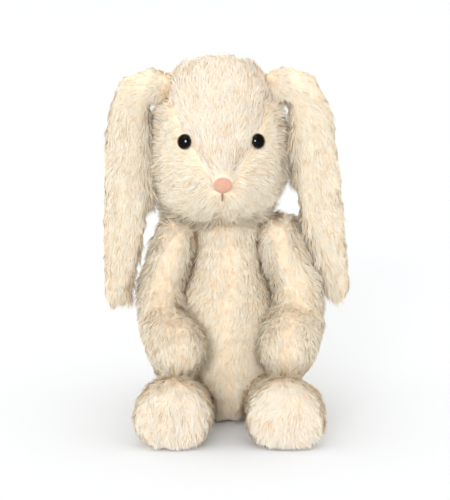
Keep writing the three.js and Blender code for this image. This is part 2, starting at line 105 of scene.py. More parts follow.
ROOT_DEPTH = 0.5 * MM       # how deep a strand starts in the backing
FLOOR_GAP = 0.3 * MM        # room between the floor and the lowest pile
EYE_RADIUS = 6.2 * MM
EYE_DEPTH = 4.4 * MM        # height of an eye's dome
EYE_CLEARING = 1.08         # radius kept free of pile, as a share of an eye's
NOSE_CLEARING = 6.6 * MM
CLEARING_DEPTH = 8 * MM     # how far behind them that reaches
SHANK_RADIUS = 1.8 * MM
WASHER_RADIUS = 5.5 * MM

SIDES = ("left", "right")
HEAD = ("head_gusset", "head_side_left", "head_side_right", "head_back")
TORSO = ("body_front_left", "body_front_right", "body_back_left", "body_back_right", "seat_base")

# ---- Small geometry helpers ---------------------------------------------------------------


def unit(vectors):
    """Rows scaled to length 1."""
    length = np.linalg.norm(vectors, axis=-1, keepdims=True)
    return vectors / np.maximum(length, 1e-12)


def middle(node):
    """The middle of a CAD node's box."""
    low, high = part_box(node)
    return (np.array(low) + np.array(high)) / 2


def joint_place(name):
    """Where a joint turns."""
    return np.array(next(j["pos_m"] for j in frame["joints"] if j["name"] == name))


def smooth_step(low, high, value):
    """0 below low, 1 above high, and smooth between them."""
    t = np.clip((value - low) / (high - low), 0, 1)
    return t * t * (3 - 2 * t)


def ripple(points, wavelength, seed, waves=6):
    """A smooth random vector at each point, with parts from about -1 to 1."""
    rng = np.random.default_rng(seed)
    total = np.zeros((len(points), 3))
    for _ in range(waves):
        along = unit(rng.normal(size=3)) * 2 * math.pi / (wavelength * rng.uniform(0.7, 1.5))
        phase = rng.uniform(0, 2 * math.pi, 3)
        total += np.sin((points @ along)[:, None] + phase)
    return total * math.sqrt(2 / waves) / 1.5


def coordinates(mesh):
    """A mesh's vertices, one a row."""
    values = np.empty(len(mesh.vertices) * 3)
    mesh.vertices.foreach_get("co", values)
    return values.reshape(-1, 3)


def vertex_normals(mesh):
    values = np.empty(len(mesh.vertices) * 3)
    mesh.vertex_normals.foreach_get("vector", values)
    return values.reshape(-1, 3)


def set_coordinates(mesh, points):
    mesh.vertices.foreach_set("co", points.ravel())
    mesh.update()


def build_mesh(name, points, *groups):
    """A mesh from rows of points and groups of faces, each group with one number of corners."""
    mesh = bpy.data.meshes.new(name)
    groups = [np.asarray(g, np.int32) for g in groups if len(g)]
    corners = np.concatenate([g.ravel() for g in groups])
    sizes = np.concatenate([np.full(len(g), g.shape[1]) for g in groups])
    starts = np.concatenate([[0], np.cumsum(sizes)[:-1]]).astype(np.int32)
    mesh.vertices.add(len(points))
    mesh.loops.add(len(corners))
    mesh.polygons.add(len(sizes))
    mesh.vertices.foreach_set("co", np.asarray(points, float).ravel())
    mesh.loops.foreach_set("vertex_index", corners)
    mesh.polygons.foreach_set("loop_start", starts)
    mesh.polygons.foreach_set("use_smooth", np.ones(len(sizes), bool))
    mesh.update(calc_edges=True)
    return mesh


def new_object(name, mesh):
    obj = bpy.data.objects.new(name, mesh)
    bpy.context.scene.collection.objects.link(obj)
    return obj


def apply_modifiers(obj):
    """Makes what the modifiers do part of the mesh."""
    graph = bpy.context.evaluated_depsgraph_get()
    shaped = bpy.data.meshes.new_from_object(obj.evaluated_get(graph))
    obj.modifiers.clear()
    old, obj.data = obj.data, shaped
    bpy.data.meshes.remove(old)


def joined_nodes(name, nodes):
    """One new object holding copies of CAD nodes."""
    work = bmesh.new()
    for node in nodes:
        work.from_mesh(frame["nodes"][node].data)
    bmesh.ops.remove_doubles(work, verts=work.verts, dist=0.001 * MM)
    mesh = bpy.data.meshes.new(name)
    work.to_mesh(mesh)
    work.free()
    return new_object(name, mesh)


def keep_largest(obj):
    """Removes every loose part but the one with the most vertices."""
    work = bmesh.new()
    work.from_mesh(obj.data)
    work.verts.ensure_lookup_table()
    left, parts = set(work.verts), []
    while left:
        part, edge = set(), [next(iter(left))]
        while edge:
            vertex = edge.pop()
            if vertex in left:
                left.discard(vertex)
                part.add(vertex)
                edge += [e.other_vert(vertex) for e in vertex.link_edges]
        parts.append(part)
    parts.sort(key=len)
    for part in parts[:-1]:
        bmesh.ops.delete(work, geom=list(part), context="VERTS")
    work.to_mesh(obj.data)
    work.free()


def relax(obj, rounds):
    """Smooths a form without shrinking it, by turns of drawing in and letting out."""
    mesh = obj.data
    ends = np.empty(len(mesh.edges) * 2, np.int32)
    mesh.edges.foreach_get("vertices", ends)
    a, b = ends.reshape(-1, 2).T
    points = coordinates(mesh)
    count = np.bincount(a, minlength=len(points)) + np.bincount(b, minlength=len(points))
    for strength in (RELAX_IN, RELAX_OUT) * rounds:
        total = np.stack([
            np.bincount(a, points[b, i], len(points)) + np.bincount(b, points[a, i], len(points))
            for i in range(3)
        ], axis=1)
        points = points + strength * (total / count[:, None] - points)
    set_coordinates(mesh, points)


def remeshed(name, node, voxel, rounds):
    """A copy of a CAD node as an even, smoothed and subdivided mesh."""
    obj = joined_nodes(name, [node])
    remesh = obj.modifiers.new("Remesh", "REMESH")
    remesh.mode, remesh.voxel_size = "VOXEL", voxel
    smooth = obj.modifiers.new("Smooth", "SMOOTH")
    smooth.factor, smooth.iterations = 0.5, rounds
    finer = obj.modifiers.new("Subdivision", "SUBSURF")
    finer.levels = finer.render_levels = 1
    apply_modifiers(obj)
    return obj


def shade_smooth(mesh):
    mesh.polygons.foreach_set("use_smooth", np.ones(len(mesh.polygons), bool))


def circle(axis, turns):
    """Directions round an axis, their angles, and each one's number and the next one's."""
    across = unit(np.cross(axis, [0.0, 0.0, 1.0]))
    up = np.cross(across, axis)
    angles = np.arange(turns) * 2 * math.pi / turns
    ring = np.cos(angles)[:, None] * across + np.sin(angles)[:, None] * up
    columns = np.arange(turns)
    return ring, angles, columns, (columns + 1) % turns


def surface_of(nodes):
    """A search tree over the surfaces of CAD nodes."""
    work = bmesh.new()
    for node in nodes:
        work.from_mesh(frame["nodes"][node].data)
    tree = BVHTree.FromBMesh(work)
    work.free()
    return tree


def distances(tree, points):
    """How far each point is from a surface."""
    return np.array([tree.find_nearest(p)[3] for p in points])


# ---- Materials ----------------------------------------------------------------------------


class Shader:
    """A node material, written as a few calls."""

    def __init__(self, name, roughness=0.8, **fixed):
        self.material = bpy.data.materials.new(name)
        self.material.use_nodes = True
        self.tree = self.material.node_tree
        self.surface = self.tree.nodes["Principled BSDF"]
        self.surface.inputs["Roughness"].default_value = roughness
        for socket, value in fixed.items():
            self.surface.inputs[socket.replace("_", " ")].default_value = value

    def node(self, kind, inputs=(), **settings):
        made = self.tree.nodes.new("ShaderNode" + kind)
        for key, value in settings.items():
            setattr(made, key, value)
        for key, value in dict(inputs).items():
            if isinstance(value, bpy.types.NodeSocket):
                self.tree.links.new(value, made.inputs[key])
            else:
                made.inputs[key].default_value = value
        return made

    def attribute(self, name):
        return self.node("Attribute", attribute_name=name).outputs["Fac"]

    def place(self):
        return self.node("TexCoord").outputs["Object"]

    def noise(self, scale, detail=2.0):
        inputs = {"Vector": self.place(), "Scale": scale, "Detail": detail}
        return self.node("TexNoise", inputs).outputs["Fac"]

    def ramp(self, factor, *stops):
        made = self.node("ValToRGB", {"Fac": factor})
        points = made.color_ramp.elements
        while len(points) < len(stops):
            points.new(0.5)
        for point, (position, color) in zip(points, stops):
            point.position = position
            point.color = (*color, 1)
        return made.outputs["Color"]

    def mix(self, factor, a, b, blend="MIX"):
        made = self.node("Mix", data_type="RGBA", blend_type=blend)
        sockets = made.inputs
        for socket, value in ((sockets[0], factor), (sockets[6], a), (sockets[7], b)):
            if isinstance(value, bpy.types.NodeSocket):
                self.tree.links.new(value, socket)
            elif isinstance(value, tuple):
                socket.default_value = (*value, 1)
            else:
                socket.default_value = value
        return made.outputs[2]

    def scaled(self, value, low, high):
        inputs = {"Value": value, "To Min": low, "To Max": high}
        return self.node("MapRange", inputs).outputs["Result"]

    def color(self, value):
        self.tree.links.new(value, self.surface.inputs["Base Color"])

    def roughness(self, value):
        self.tree.links.new(value, self.surface.inputs["Roughness"])

    def bump(self, height, strength, distance):
        inputs = {"Height": height, "Strength": strength, "Distance": distance}
        made = self.node("Bump", inputs)
        self.tree.links.new(made.outputs["Normal"], self.surface.inputs["Normal"])


def plush_material(name, root, body, tip):
    """Short pile: deeper and warmer at the roots, partly as painted shade deep in the pile, with soft patches
    where it parts and painted shade where covers meet.
    """
    s = Shader(name, Sheen_Weight=0.25, Sheen_Roughness=0.5, Specular_IOR_Level=0.15)
    s.surface.inputs["Sheen Tint"].default_value = (1.0, 0.9, 0.75, 1)
    # colour from root to tip: the deep, warm roots are partly the fibre's own tone and partly painted shade deep
    # in the pile
    pile = s.ramp(s.attribute("pile"), (0.0, root), (0.4, body), (0.85, tip))
    patches = s.scaled(s.noise(70.0, 3.0), 0.0, 0.5)
    warmed = s.mix(patches, pile, body)
    # painted shade in creases: the roots' colour mixed in where covers meet other bodies and along seams
    crease_shaded = s.mix(s.attribute("painted_crease_shade"), warmed, root)
    strand = s.ramp(s.attribute("tint"), (0.0, (0.80, 0.54, 0.29)), (0.25, (0.97, 0.93, 0.86)),
                    (0.6, (1.0, 1.0, 1.0)))
    s.color(s.mix(0.95, crease_shaded, strand, "MULTIPLY"))
    s.roughness(s.scaled(s.noise(900.0), 0.7, 0.95))
    s.bump(s.noise(2600.0), 0.15, 0.2 * MM)
    return s.material


def filling_material():
    """Loose polyester fibre."""
    s = Shader("fibre_filling", Sheen_Weight=0.3)
    fibres = s.node("TexWave", {"Vector": s.place(), "Scale": 90.0, "Distortion": 14.0,
                                "Detail": 3.0, "Detail Scale": 4.0}).outputs["Fac"]
    s.color(s.ramp(fibres, (0.0, (0.72, 0.72, 0.70)), (1.0, (0.93, 0.93, 0.91))))
    s.roughness(s.scaled(fibres, 0.75, 0.95))
    s.bump(fibres, 0.6, 0.5 * MM)
    return s.material


def woven_material(name, dark, light, threads):
    """Plain weave: threads crossing over and under."""
    s = Shader(name, Sheen_Weight=0.1)
    waves = [
        s.node("TexWave", {"Vector": s.place(), "Scale": threads, "Distortion": 0.4},
               bands_direction=axis).outputs["Fac"]
        for axis in "XZ"
    ]
    weave = s.node("Math", {0: waves[0], 1: waves[1]}, operation="MULTIPLY").outputs["Value"]
    threads_color = s.ramp(weave, (0.0, dark), (1.0, light))
    s.color(s.mix(s.scaled(s.noise(60.0), 0.0, 0.25), threads_color, dark))
    s.roughness(s.scaled(weave, 0.9, 0.7))
    s.bump(weave, 0.5, 0.15 * MM)
    return s.material


def plastic_material(name, shine, dark, light, roughness):
    """Moulded plastic: faint flow marks and a slightly uneven gloss."""
    s = Shader(name, Specular_IOR_Level=shine)
    s.color(s.ramp(s.noise(120.0, 4.0), (0.3, dark), (0.7, light)))
    s.roughness(s.scaled(s.noise(300.0), roughness, roughness * 1.6))
    return s.material


def thread_material(name, dark, light, scale):
    """Twisted embroidery thread."""
    s = Shader(name, Sheen_Weight=0.3, Specular_IOR_Level=0.3)
    strand = s.ramp(s.attribute("tint"), (0.0, dark), (1.0, light))
    s.color(s.mix(s.scaled(s.noise(scale, 3.0), 0.0, 0.6), strand, dark))
    s.roughness(s.scaled(s.noise(1500.0), 0.5, 0.8))
    s.bump(s.noise(3000.0), 0.3, 0.1 * MM)
    return s.material


MATERIALS = {
    "plush": plush_material(
        "cream_plush", (0.93, 0.55, 0.22), (0.91, 0.83, 0.68), (0.91, 0.88, 0.80)),
    "pale_plush": plush_material(
        "pale_plush", (0.92, 0.60, 0.30), (0.91, 0.84, 0.72), (0.91, 0.88, 0.82)),
    "filling": filling_material(),
    "pouch": woven_material("cotton_pouch", (0.52, 0.46, 0.36), (0.80, 0.75, 0.64), 420.0),
    "ribbon": woven_material("satin_ribbon", (0.72, 0.69, 0.62), (0.90, 0.88, 0.83), 700.0),
    "black_plastic": plastic_material(
        "black_eye", 1.0, (0.002, 0.002, 0.002), (0.006, 0.005, 0.005), 0.05),
    "white_plastic": plastic_material(
        "white_washer", 0.5, (0.72, 0.72, 0.70), (0.84, 0.84, 0.82), 0.45),
    "pink_thread": thread_material("pink_thread", (0.52, 0.27, 0.19), (0.74, 0.44, 0.33), 260.0),
    "brown_thread": thread_material("brown_thread", (0.30, 0.17, 0.10), (0.52, 0.34, 0.22), 400.0),
}
SLOT_OF = {row["node"]: row["material_slot"] for row in frame["record"]["subparts"]}


def finished(obj, nodes, body):
    """Gives a piece the material of its first node's slot, hides the CAD nodes it stands in for, and puts it on
    the body it rides on.
    """
    slot = SLOT_OF[nodes[0]]
    obj.data.materials.clear()
    obj.data.materials.append(MATERIALS[slot])
    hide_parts(*nodes)
    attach(obj, body)
    return obj


# ---- Soft forms ---------------------------------------------------------------------------


def swell(obj, cap, room):
    """Puffs a form up by cloth pressure. No point moves further than cap, or than its room."""
    start = coordinates(obj.data)
    cloth = obj.modifiers.new("Cloth", "CLOTH")
    cloth.settings.quality = 4
    cloth.settings.mass = 0.3
    cloth.settings.tension_stiffness = cloth.settings.compression_stiffness = 12
    cloth.settings.bending_stiffness = 0.8
    cloth.settings.use_pressure = True
    cloth.settings.uniform_pressure_force = PRESSURE
    cloth.settings.effector_weights.gravity = 0
    cloth.point_cache.frame_start, cloth.point_cache.frame_end = 1, CLOTH_FRAMES
    for step in range(1, CLOTH_FRAMES + 1):
        bpy.context.scene.frame_set(step)
    apply_modifiers(obj)
    bpy.context.scene.frame_set(1)
    moved = coordinates(obj.data) - start
    length = np.linalg.norm(moved, axis=1)
    allowed = np.minimum(cap, room(start))
    scale = np.minimum(1, allowed / np.maximum(length, 1e-9))
    set_coordinates(obj.data, start + moved * scale[:, None])


def soft_form(name, nodes, body, voxel=4 * MM, cap=2.5 * MM, plump=PLUMP):
    """One closed, rounded form around CAD nodes, kept clear of every other body."""
    obj = joined_nodes(name, nodes)
    remesh = obj.modifiers.new("Remesh", "REMESH")
    remesh.mode = "VOXEL"
    remesh.voxel_size = voxel
    apply_modifiers(obj)
    keep_largest(obj)
    relax(obj, RELAX_FIRST)
    others = other_surfaces(body)
    swell(obj, cap, lambda points: ROOM_SHARE * distances(others, points))
    relax(obj, RELAX_LAST)
    finer = obj.modifiers.new("Subdivision", "SUBSURF")
    finer.levels = finer.render_levels = 1
    apply_modifiers(obj)
    points = coordinates(obj.data)
    out = np.minimum(plump, ROOM_SHARE * distances(others, points))
    points += vertex_normals(obj.data) * out[:, None]
    points[:, 2] = np.maximum(points[:, 2], FLOOR_GAP)
    set_coordinates(obj.data, points)
    return obj


def other_surfaces(body):
    """A search tree over the covers of every other body."""
    groups = frame["record"]["behaviour"]["bodies"]
    covers = [n for b, nodes in groups.items() if b != body for n in nodes
              if SLOT_OF[n] in ("plush", "pale_plush")]
    return surface_of(covers)


def sewn(obj, panels):
    """Pulls a form in along the seams between its panels. Returns each point's nearest panel,
    and how near it is to a seam, from 0 to 1."""
    points = coordinates(obj.data)
    reach = np.array([distances(surface_of([p]), points) for p in panels])
    nearest = reach.argmin(axis=0)
    if len(panels) == 1:
        return nearest, np.zeros(len(points))
    first, second = np.partition(reach, 1, axis=0)[:2]
    near_seam = np.exp(-(((second - first) / SEAM_REACH) ** 2))
    tucked = points - vertex_normals(obj.data) * (SEAM_DEPTH * near_seam)[:, None]
    tucked[:, 2] = np.maximum(tucked[:, 2], FLOOR_GAP)
    set_coordinates(obj.data, tucked)
    return nearest, near_seam


# ---- Pile ---------------------------------------------------------------------------------


def strands(root, normal, nap, length, raised, tint, seed):
    """Tapered, bent blades of pile. Returns points, faces, normals and each point's place from
    root to tip."""
    rng = np.random.default_rng(seed)
    count = len(root)
    along = unit(nap - normal * np.sum(nap * normal, axis=1, keepdims=True))
    rise = raised[:, None] * rng.uniform(*RISE_SPREAD, (count, 1))
    way = unit(along + normal * rise + rng.normal(0, NAP_JITTER, (count, 3)))
    side = unit(np.cross(way, normal + rng.normal(0, TWIST_JITTER, (count, 3))))
    facing = np.cross(side, way)
    outward = np.sign(np.sum(facing * normal, axis=1, keepdims=True))
    side, facing = side * outward, facing * outward
    steps = np.array([0.0, BEND_AT, 1.0])
    widths = np.array([1.0, MID_WIDTH]) * PILE_WIDTH / 2
    droop = unit(along - normal * DROOP)
    start = root - normal * ROOT_DEPTH
    spine = [
        start + (way * t + droop * DROOP * t * t - normal * SINK * t * t) * length[:, None]
        for t in steps
    ]
    rows = []
    width_scale = rng.uniform(*WIDTH_SPREAD, (count, 1))
    for center, width in zip(spine, widths):
        rows += [center - side * width * width_scale, center + side * width * width_scale]
    rows.append(spine[-1])
    points = np.stack(rows, axis=1).reshape(-1, 3)
    points[:, 2] = np.maximum(points[:, 2], FLOOR_GAP)
    per = len(rows)
    base = np.arange(count)[:, None] * per
    quads = base + [0, 1, 3, 2]
    tips = base + [2, 3, 4]
    shade = unit(SKIN_SHADE * normal + BLADE_SHADE * facing)
    place = np.tile(np.repeat(steps, [2, 2, 1]), count)
    return points, quads, tips, np.repeat(shade, per, axis=0), place, np.repeat(tint, per)


def patch(mesh, faces, normals):
    """A panel's cover as a thin closed shell: outer faces, inner faces and the rim between."""
    used, corners = np.unique(faces, return_inverse=True)
    corners = corners.reshape(faces.shape)
    outer = coordinates(mesh)[used]
    inner = outer - normals[used] * COVER
    count = len(used)
    edges = np.concatenate([corners[:, [i, (i + 1) % 4]] for i in range(4)])
    keys = edges[:, 0].astype(np.int64) * count + edges[:, 1]
    back = edges[:, 1].astype(np.int64) * count + edges[:, 0]
    rim = edges[~np.isin(keys, back)]
    sides = np.stack([rim[:, 1], rim[:, 0], rim[:, 0] + count, rim[:, 1] + count], axis=1)
    quads = np.concatenate([corners, corners[:, ::-1] + count, sides])
    return used, np.concatenate([outer, inner]), quads


def scatter(points, faces, amount, seed):
    """Random places spread evenly over quads. Returns the corner and share of each triangle."""
    rng = np.random.default_rng(seed)
    triangles = np.concatenate([faces[:, [0, 1, 2]], faces[:, [0, 2, 3]]])
    a, b, c = (points[triangles[:, i]] for i in range(3))
    area = np.linalg.norm(np.cross(b - a, c - a), axis=1) / 2
    chosen = rng.choice(len(triangles), int(area.sum() * amount), p=area / area.sum())
    u, v = rng.random((2, len(chosen)))
    over = u + v > 1
    u[over], v[over] = 1 - u[over], 1 - v[over]
    return triangles[chosen], np.stack([1 - u - v, u, v], axis=1)


def cover_panels(form, body, panels, style, seed, clear_of=()):
    """Cuts a form into its panels, gives each its pile and finishes it as a piece."""
    mesh = form.data
    nearest, near_seam = sewn(form, panels)
    normals = vertex_normals(mesh)
    points = coordinates(mesh)
    corners = np.empty(len(mesh.loops), np.int32)
    mesh.loops.foreach_get("vertex_index", corners)
    faces = corners.reshape(-1, 4)
    clearance = distances(other_surfaces(body), points)
    crowding = smooth_step(0.0, FULL_PILE_GAP, clearance)
    parting, reach = style.get("parting", 0.3), style.get("fringe", 0)
    # painted shade: colour pulled towards the roots' colour in the gaps between bodies and, less, along seams
    crevice_shade = 1 - smooth_step(*CREASE_SHADE_GAPS, clearance)
    painted_crease_shade = np.clip(CREASE_SHADE * crevice_shade + CREASE_SHADE * parting * near_seam, 0, 1)
    face_panel = np.array([
        np.bincount(row, minlength=len(panels)).argmax() for row in nearest[faces]
    ])
    for index, panel in enumerate(panels):
        mine = faces[face_panel == index]
        used, shell, quads = patch(mesh, mine, normals)
        who, share = scatter(points, mine, PILE_DENSITY, seed + index)

        def spread(values):
            return np.einsum("ij,ij...->i...", share, values[who])

        root, normal = spread(points), unit(spread(normals))
        rng = np.random.default_rng(seed + 50 + index)
        room, seam, gap = spread(crowding), spread(near_seam), spread(clearance)
        length = style["length"](root) * (0.6 + 0.4 * room) * (1 - parting * seam)
        fringe = smooth_step(*FRINGE_NEAR, gap) * (1 - smooth_step(*FRINGE_FAR, gap))
        ear_roots = smooth_step(0.82 * cad_high[2], 0.90 * cad_high[2], root[:, 2])
        fringe *= 1 - FRINGE_TOP * ear_roots
        length += reach * fringe
        length *= rng.uniform(*LENGTH_SPREAD, len(root)) * (1 + 0.2 * ripple(root, 12 * MM, seed)[:, 0])
        low_down = smooth_step(1 * MM, 8 * MM, root[:, 2] + 6 * MM * normal[:, 2])
        length *= 0.3 + 0.7 * low_down
        nap = unit(style["nap"](root, panel))
        nap = nap + 0.3 * ripple(root, 9 * MM, seed + 1) + 0.2 * ripple(root, 40 * MM, seed + 2)
        keep = room > 0.02
        for center, axis, radius in clear_of:
            away = root - center
            off_axis = np.linalg.norm(away - np.outer(away @ axis, axis), axis=1)
            near = (off_axis < radius) & (away @ axis > -CLEARING_DEPTH)
            keep &= ~near
        tint = rng.random(len(root)) ** 0.6 * (0.8 + 0.3 * ripple(root, 7 * MM, seed + 3)[:, 0])
        raised = PILE_RISE + FRINGE_RISE * fringe * (reach > 0)
        blade = strands(root[keep], normal[keep], nap[keep], length[keep], raised[keep],
                        tint[keep], seed + 90 + index)
        more, blade_quads, tips, shade, place, tints = blade
        offset = len(shell)
        piece = build_mesh(panel + "_plush", np.concatenate([shell, more]),
                           np.concatenate([quads, blade_quads + offset]), tips + offset)
        own_normals = np.concatenate([normals[used], -normals[used], shade])
        piece.normals_split_custom_set_from_vertices(own_normals)
        # the painted crease shade, carried on to every point of each strand
        strand_crease_shade = np.repeat(spread(painted_crease_shade)[keep], len(place) // max(keep.sum(), 1))
        values = {
            "pile": np.concatenate([np.full(offset, 0.3), place]),
            "tint": np.concatenate([np.full(offset, 0.6), tints]),
            "painted_crease_shade": np.concatenate([painted_crease_shade[used], painted_crease_shade[used], strand_crease_shade]),
        }
        for name, data in values.items():
            piece.attributes.new(name, "FLOAT", "POINT").data.foreach_set("value", data)
        obj = finished(new_object(panel + "_plush", piece), [panel], body)
    bpy.data.objects.remove(form)


def away_from(place, drop=0.0):
    """A nap that runs away from a place, and partly down."""
    return lambda points, panel: unit(points - place) + np.array([0, 0, -drop])


# ---- Filling ------------------------------------------------------------------------------


def lumpy(node, body, voxel=4 * MM, depth=1.6 * MM):
    """A CAD filling as soft lumps of loose fibre, no larger than its solid."""
    obj = remeshed(node + "_fibre", node, voxel, 4)
    points, normals = coordinates(obj.data), vertex_normals(obj.data)
    coarse, fine = (ripple(points, size, seed)[:, 0] for size, seed in ((16 * MM, 5), (5 * MM, 6)))
    lumps = np.abs(coarse) + 0.4 * np.abs(fine)
    set_coordinates(obj.data, points - normals * (depth * np.clip(lumps, 0, 1.3))[:, None])
    shade_smooth(obj.data)
    finished(obj, [node], body)
    return obj


# ---- Face ---------------------------------------------------------------------------------


def eye_axis(side):
    """Where an eye's dome stands on the cover, and which way it looks."""
    eye = coordinates(frame["nodes"][f"eye_{side}"].data)
    washer = middle(f"eye_washer_{side}")
    axis = unit(eye.mean(axis=0) - washer)
    front = ((eye - washer) @ axis).max()
    return washer + axis * front, axis


def lathe(name, profile, place, axis):
    """A closed mesh turned about an axis. The profile's points are (radius, height)."""
    turns = 40
    ring, _, columns, following = circle(axis, turns)
    points = np.concatenate([place + ring * radius + axis * height for radius, height in profile])
    steps = len(profile)
    quads = np.concatenate([
        np.stack([r * turns + columns, (r + 1) * turns + columns,
                  (r + 1) * turns + following, r * turns + following], axis=1)
        for r in range(steps - 1)
    ])
    ends = np.array([place + axis * profile[0][1], place + axis * profile[-1][1]])
    first, last = len(points), len(points) + 1
    caps = np.concatenate([
        np.stack([columns, following, np.full(turns, first)], axis=1),
        np.stack([(steps - 1) * turns + following, (steps - 1) * turns + columns,
                  np.full(turns, last)], axis=1),
    ])
    return new_object(name, build_mesh(name, np.concatenate([points, ends]), quads, caps))


def make_eye(side):
    """A glossy dome with a rounded rim, on a ribbed shank that runs through the cover."""
    front, axis = eye_axis(side)
    quarter = np.linspace(0.04, math.pi / 2, 12)
    dome = [(EYE_RADIUS * math.sin(a), EYE_DEPTH * (math.cos(a) - 1)) for a in quarter]
    rim = [(EYE_RADIUS * 0.98, -EYE_DEPTH - 0.4 * MM), (EYE_RADIUS * 0.92, -EYE_DEPTH - 0.7 * MM)]
    shank_start, pitch, ribs = -EYE_DEPTH - 0.8 * MM, 0.8 * MM, 8
    shank = [(SHANK_RADIUS, shank_start)]
    for rib in range(ribs):
        height = shank_start - rib * pitch
        shank += [(SHANK_RADIUS, height - 0.2 * MM), (SHANK_RADIUS * 0.85, height - 0.5 * MM)]
    shank.append((SHANK_RADIUS * 0.5, shank_start - ribs * pitch))
    eye = lathe(f"eye_{side}_dome", dome + rim + shank, front, axis)
    finished(eye, [f"eye_{side}"], "head")


def make_washer(side):
    """The locking washer behind an eye: a rounded rim and six spring teeth round the hole."""
    _, axis = eye_axis(side)
    place = middle(f"eye_washer_{side}")
    inner, thick = SHANK_RADIUS + 0.25 * MM, 0.8 * MM
    profile = [(inner, -thick), (inner * 1.5, -thick * 0.6), (WASHER_RADIUS * 0.94, -thick),
               (WASHER_RADIUS, -thick * 0.5), (WASHER_RADIUS, thick * 0.5),
               (WASHER_RADIUS * 0.94, thick), (inner * 1.5, thick * 0.5), (inner, thick)]
    turns, teeth = 48, 6
    ring, angles, columns, following = circle(axis, turns)
    notch = 0.12 * MM * np.cos(angles * teeth)
    rows = [place + ring * (r + (notch if r < inner * 1.2 else 0 * notch))[:, None] + axis * h
            for r, h in profile]
    count = len(rows)
    quads = np.concatenate([
        np.stack([((r + 1) % count) * turns + columns, r * turns + columns,
                  r * turns + following, ((r + 1) % count) * turns + following], axis=1)
        for r in range(count)
    ])
    name = f"eye_{side}_lock_washer"
    finished(new_object(name, build_mesh(name, np.concatenate(rows), quads)),
             [f"eye_washer_{side}"], "head")


def make_nose():
    """A padded oval worked over in satin stitch, with a ridge for each thread."""
    obj = remeshed("nose_satin_stitch", "nose", 0.6 * MM, 12)
    points, normals = coordinates(obj.data), vertex_normals(obj.data)
    pitch, padding, relief = 0.85 * MM, 0.5 * MM, 0.28 * MM
    slant = points[:, 0] + 0.12 * (points[:, 2] - points[:, 2].mean())
    thread = slant / pitch + 0.25 * ripple(points, 9 * MM, 3)[:, 0]
    ridge = np.abs(np.sin(math.pi * thread)) ** 0.7
    set_coordinates(obj.data, points + normals * (padding + relief * ridge)[:, None])
    shade_smooth(obj.data)
    # the ridges also set the thread's colour: painted shade darkens the grooves between threads
    obj.data.attributes.new("tint", "FLOAT", "POINT").data.foreach_set("value", ridge)
    finished(obj, ["nose"], "head")


def make_mouth():
    """One stitch of two-ply thread down from the nose."""
    low, high = (np.array(v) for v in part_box("mouth_stitch"))
    x, radius = (low[0] + high[0]) / 2, 0.42 * MM
    top, bottom = np.array([x, low[1] + radius, high[2]]), np.array([x, high[1] - radius, low[2]])
    turns, steps, around = 4.5, 60, 8
    axis = unit(bottom - top)
    across = np.array([1.0, 0.0, 0.0])
    out = np.cross(across, axis)
    points, quads = [], []
    for ply in range(2):
        first = len(points) * around
        for step in range(steps + 1):
            t = step / steps
            angle = turns * 2 * math.pi * t + ply * math.pi
            taper = 1 - 0.6 * abs(2 * t - 1) ** 6
            off_line = math.cos(angle) * across + math.sin(angle) * out
            heart = top + (bottom - top) * t + radius * off_line
            ring = [heart + radius * taper * (math.cos(a) * across + math.sin(a) * out)
                    for a in np.arange(around) * 2 * math.pi / around]
            points.append(ring)
        for step in range(steps):
            for i in range(around):
                a, b = first + step * around + i, first + step * around + (i + 1) % around
                quads.append([b, a, a + around, b + around])
    ends = []
    for ply in range(2):
        first = ply * (steps + 1) * around
        last = first + steps * around
        ends.append([first + i for i in range(around)])
        ends.append([last + i for i in reversed(range(around))])
    mesh = build_mesh("mouth_stitch_thread", np.array(points).reshape(-1, 3), quads, ends)
    mesh.attributes.new("tint", "FLOAT", "POINT").data.foreach_set(
        "value", np.tile(np.linspace(0.2, 0.8, around), len(points)))
    finished(new_object("mouth_stitch_thread", mesh), ["mouth_stitch"], "head")


# ---- Seat -----------------------------------------------------------------------------------


def make_label():
    """A blank satin care label with folded hems, hanging from the back seam."""
    low, high = (np.array(v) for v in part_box("care_label"))
    source = BVHTree.FromPolygons(
        [v.co for v in frame["nodes"]["care_label"].data.vertices],
        [p.vertices for p in frame["nodes"]["care_label"].data.polygons])
    columns, rows, thick = 24, 40, 0.35 * MM
    width, length = high[0] - low[0], high[2] - low[2]
    across, down = np.linspace(0, 1, columns + 1), np.linspace(0, 1, rows + 1)
    front = []
    for v in down:
        for u in across:
            x, z = low[0] + u * width, high[2] - v * length
            start = Vector((x, high[1] + 5 * MM, z))
            hit = source.ray_cast(start, Vector((0, -1, 0)))[0] or source.find_nearest(start)[0]
            curl = 5 * MM * v ** 2 + 0.35 * MM * math.sin(u * 9 + v * 5) * v
            hem = 0.2 * MM * (min(u, 1 - u) < 0.05 or v > 0.95)
            front.append([x, hit[1] + curl + hem, z])
    front = np.array(front)
    count = len(front)
    back = front - [0, thick, 0]
    grid = np.arange(count).reshape(rows + 1, columns + 1)
    cells = grid[:-1, :-1], grid[1:, :-1], grid[1:, 1:], grid[:-1, 1:]
    faces = np.stack(cells, axis=-1).reshape(-1, 4)
    border = np.concatenate([grid[0, :], grid[1:, -1], grid[-1, -2::-1], grid[-2:0:-1, 0]])
    ahead = np.roll(border, -1)
    rim = np.stack([border, ahead, ahead + count, border + count], axis=1)
    mesh = build_mesh("care_label_ribbon", np.concatenate([front, back]),
                      np.concatenate([faces[:, ::-1], faces + count, rim[:, ::-1]]))
    obj = finished(new_object("care_label_ribbon", mesh), ["care_label"], "torso")


def make_pouch():
    """The cotton pouch of pellets in the seat: bumps where the pellets press the cloth."""
    obj = lumpy("seat_bean_pouch", "torso", voxel=2.5 * MM, depth=0.0)
    points, normals = coordinates(obj.data), vertex_normals(obj.data)
    bumps = np.abs(ripple(points, 5 * MM, 8)[:, 1])
    set_coordinates(obj.data, points - normals * (0.6 * MM * bumps)[:, None])


# ---- Stage ----------------------------------------------------------------------------------


